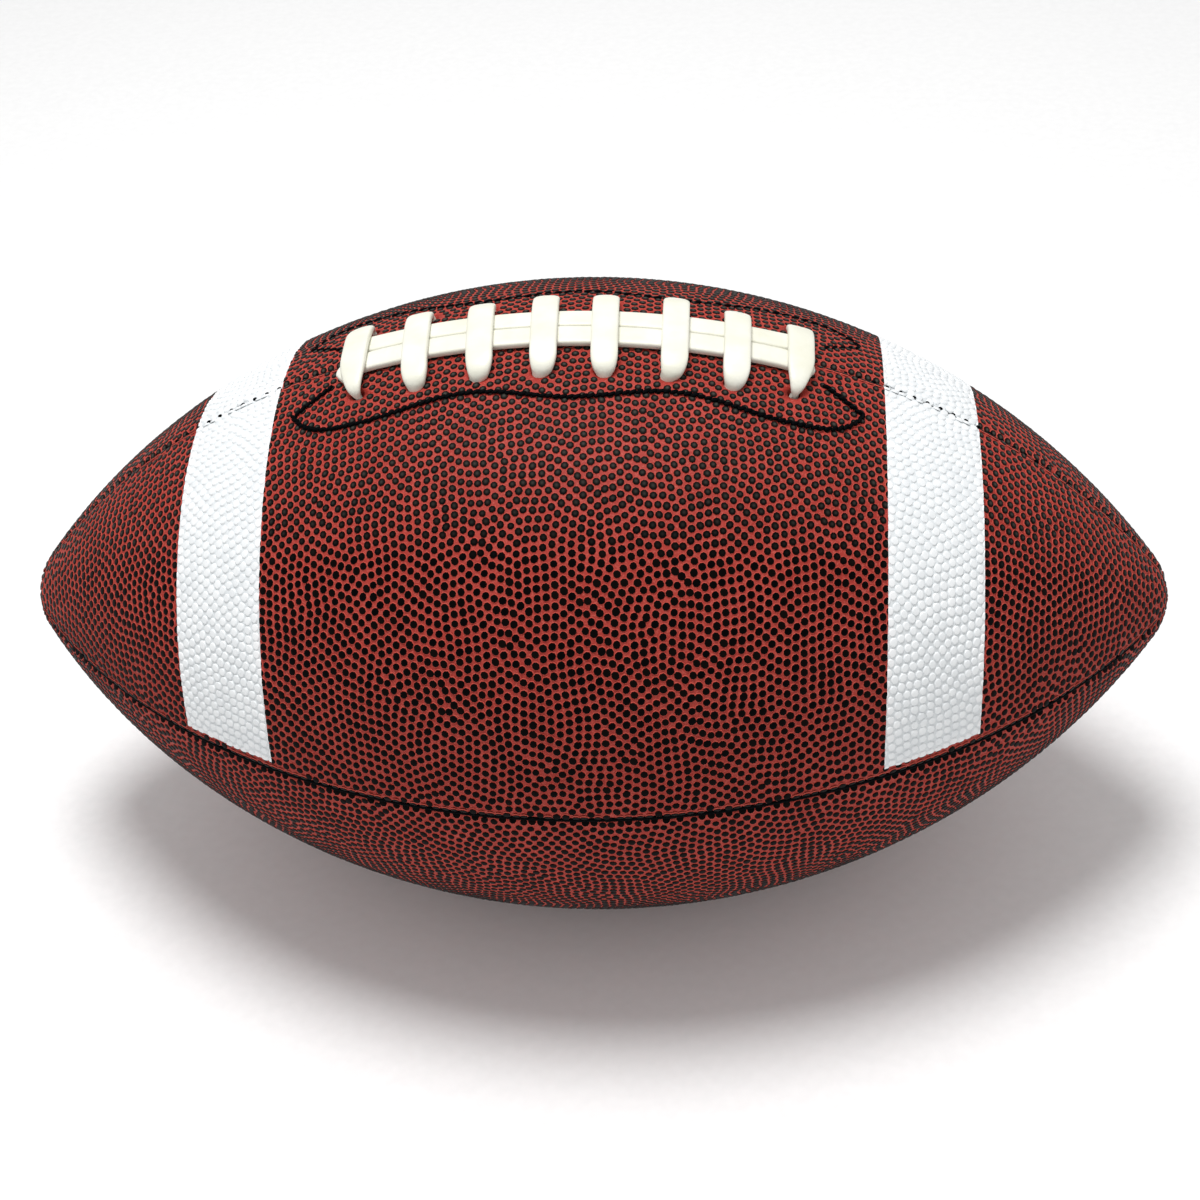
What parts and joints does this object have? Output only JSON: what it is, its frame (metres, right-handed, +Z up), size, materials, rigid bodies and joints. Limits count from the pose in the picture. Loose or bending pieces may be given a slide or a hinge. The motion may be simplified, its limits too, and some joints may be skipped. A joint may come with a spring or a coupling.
{
  "type": "american football",
  "caption": "Pebbled red-brown football with pointed ends: sewn cover panels with white stripes, a white lace over the slit, and a rubber bladder with a needle valve.",
  "frame": {"origin": "on the floor under the middle of the ball: its lowest point when it rests with the lacing up", "axes": "+X along the long axis from tip to tip, to the right of the picture; +Z up, out through the middle of the lacing; -Y towards the front, the side that the picture shows"},
  "size_m": [0.2738, 0.152, 0.1561],
  "materials": {
    "cover": "satin, tanned red-brown leather with near-black pebbles",
    "lining": "woven, undyed",
    "stripe": "white coat, satin",
    "bladder": "matt",
    "guard": "rubberised cloth",
    "valve_boot": "matt",
    "valve_plug": "matt",
    "facing": "split leather",
    "lace": "cream-white vinyl, softly rounded",
    "stitching": "waxed heavy thread",
    "seam_thread": "waxed thread"
  },
  "bodies": {
    "root": {"front_upper_cover_panel": "cover", "rear_upper_cover_panel": "cover", "front_lower_cover_panel": "cover", "rear_lower_cover_panel": "cover", "front_upper_lining": "lining", "rear_upper_lining": "lining", "front_lower_lining": "lining", "rear_lower_lining": "lining", "front_left_stripe": "stripe", "front_right_stripe": "stripe", "rear_left_stripe": "stripe", "rear_right_stripe": "stripe", "bladder": "bladder", "bladder_guard": "guard", "valve_boot": "valve_boot", "valve_plug": "valve_plug", "front_lace_facing": "facing", "rear_lace_facing": "facing", "lace": "lace", "front_facing_stitching": "stitching", "rear_facing_stitching": "stitching", "front_seam_thread": "seam_thread", "rear_seam_thread": "seam_thread", "bottom_seam_thread": "seam_thread", "left_lace_seam_thread": "seam_thread", "right_lace_seam_thread": "seam_thread"}
  },
  "joints": []
}
